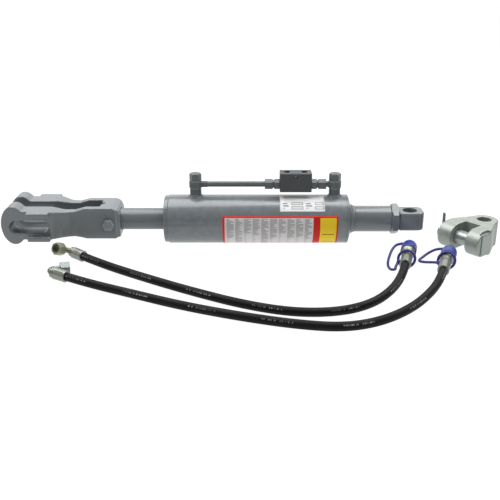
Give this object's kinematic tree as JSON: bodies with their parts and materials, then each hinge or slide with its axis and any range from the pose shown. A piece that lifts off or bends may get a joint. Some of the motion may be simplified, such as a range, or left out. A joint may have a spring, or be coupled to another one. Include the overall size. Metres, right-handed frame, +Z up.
{
  "type": "hydraulic tractor lift arm kit",
  "caption": "Hydraulic lift arm with a slotted fork, a threaded eye and a piped check-valve block, beside a loose clevis with its pin and two quick-coupler hoses.",
  "frame": {"origin": "on the floor under the middle of the box round the arm and the clevis", "axes": "+X along the arm towards the threaded eye, +Z up, hoses on the -Y side"},
  "size_m": [0.9104, 0.4276, 0.1354],
  "materials": {
    "arm_paint": "satin grey paint",
    "block_paint": "dark grey satin paint",
    "rod_chrome": "hard chrome",
    "bright_steel": "turned",
    "zinc_plate": "zinc plated",
    "black_rubber": "matte",
    "guide_plastic": "matte",
    "blue_plastic": "soft gloss"
  },
  "bodies": {
    "barrel": {"barrel_tube": "arm_paint", "head_gland": "arm_paint", "rear_cap": "arm_paint", "end_sleeve": "arm_paint", "weld_beads": "arm_paint", "front_port_boss": "arm_paint", "rear_port_boss": "arm_paint", "front_banjo_ring": "arm_paint", "rear_banjo_ring": "arm_paint", "front_banjo_bolt": "arm_paint", "rear_banjo_bolt": "arm_paint", "pipe_long": "arm_paint", "pipe_short": "arm_paint", "front_union_nut": "arm_paint", "rear_union_nut": "arm_paint", "front_stud_fitting": "arm_paint", "rear_stud_fitting": "arm_paint", "valve_block": "block_paint", "left_spring": "bright_steel", "right_spring": "bright_steel", "cutting_rings": "bright_steel", "clevis": "zinc_plate", "clevis_pin": "zinc_plate", "split_pin": "zinc_plate", "banjo_washers": "zinc_plate", "hose_a_elbow": "zinc_plate", "hose_b_elbow": "zinc_plate", "hose_a_plug": "zinc_plate", "hose_b_plug": "zinc_plate", "hose_a_ferrules": "zinc_plate", "hose_b_ferrules": "zinc_plate", "wiper_ring": "black_rubber", "rod_seal": "black_rubber", "gland_o_ring": "black_rubber", "hose_a": "black_rubber", "hose_b": "black_rubber", "gland_guide_ring": "guide_plastic", "hose_a_cap_ring": "blue_plastic", "hose_b_cap_ring": "blue_plastic", "hose_a_cap_tether": "blue_plastic", "hose_b_cap_tether": "blue_plastic"},
    "piston_pack": {"piston_guide_ring": "guide_plastic", "piston_seal": "black_rubber"},
    "rod": {"piston_rod": "rod_chrome", "piston": "bright_steel", "piston_nut": "bright_steel", "fork": "arm_paint", "cross_bolt": "arm_paint", "cross_nut": "arm_paint", "cross_washers": "arm_paint"},
    "lock_nut": {"lock_nut": "arm_paint"},
    "eye": {"end_eye": "arm_paint"},
    "pilot_piston": {"pilot_piston": "bright_steel"},
    "left_poppet": {"left_poppet": "bright_steel"},
    "right_poppet": {"right_poppet": "bright_steel"},
    "hose_a_nut": {"hose_a_swivel_nut": "zinc_plate"},
    "hose_b_nut": {"hose_b_swivel_nut": "zinc_plate"},
    "hose_a_cap": {"hose_a_dust_cap": "blue_plastic"},
    "hose_b_cap": {"hose_b_dust_cap": "blue_plastic"}
  },
  "joints": [
    {"name": "rod_slide", "type": "slide", "parent": "barrel", "child": "piston_pack", "axis": [-1, 0, 0], "range_m": [0, 0.205]},
    {"name": "rod_turn", "type": "hinge", "parent": "piston_pack", "child": "rod", "pos_m": [-0.00418, 0.01766, 0.045], "axis": [1, 0, 0], "continuous": true},
    {"name": "eye_turn", "type": "hinge", "parent": "barrel", "child": "lock_nut", "pos_m": [-0.00418, 0.01766, 0.045], "axis": [1, 0, 0], "range_deg": [0, 4320]},
    {"name": "eye_extend", "type": "slide", "parent": "lock_nut", "child": "eye", "axis": [1, 0, 0], "range_m": [0, 0.0241]},
    {"name": "pilot_slide", "type": "slide", "parent": "barrel", "child": "pilot_piston", "axis": [1, 0, 0], "range_m": [-0.0009, 0.0009]},
    {"name": "left_poppet_lift", "type": "slide", "parent": "barrel", "child": "left_poppet", "axis": [-1, 0, 0], "range_m": [0, 0.003], "stiffness_N_per_m": 600, "springref_m": -0.002, "deforming": ["left_spring"]},
    {"name": "right_poppet_lift", "type": "slide", "parent": "barrel", "child": "right_poppet", "axis": [1, 0, 0], "range_m": [0, 0.003], "stiffness_N_per_m": 600, "springref_m": -0.002, "deforming": ["right_spring"]},
    {"name": "hose_a_nut_spin", "type": "hinge", "parent": "barrel", "child": "hose_a_nut", "pos_m": [-0.33592, -0.07494, 0.02005], "axis": [-0.5057, -0.7526, 0.4217], "continuous": true},
    {"name": "hose_b_nut_spin", "type": "hinge", "parent": "barrel", "child": "hose_b_nut", "pos_m": [-0.32474, -0.14278, 0.01262], "axis": [0.944, 0.3263, -0.0495], "continuous": true},
    {"name": "hose_a_cap_pull", "type": "slide", "parent": "barrel", "child": "hose_a_cap", "axis": [0.2738, 0.9618, 0], "range_m": [0, 0.024], "deforming": ["hose_a_cap_tether"]},
    {"name": "hose_b_cap_pull", "type": "slide", "parent": "barrel", "child": "hose_b_cap", "axis": [0.3451, 0.9386, 0], "range_m": [0, 0.024], "deforming": ["hose_b_cap_tether"]}
  ],
  "couplings": [
    {"joint": "eye_extend", "follows": "eye_turn", "m_per_rad": 0.00031831}
  ]
}
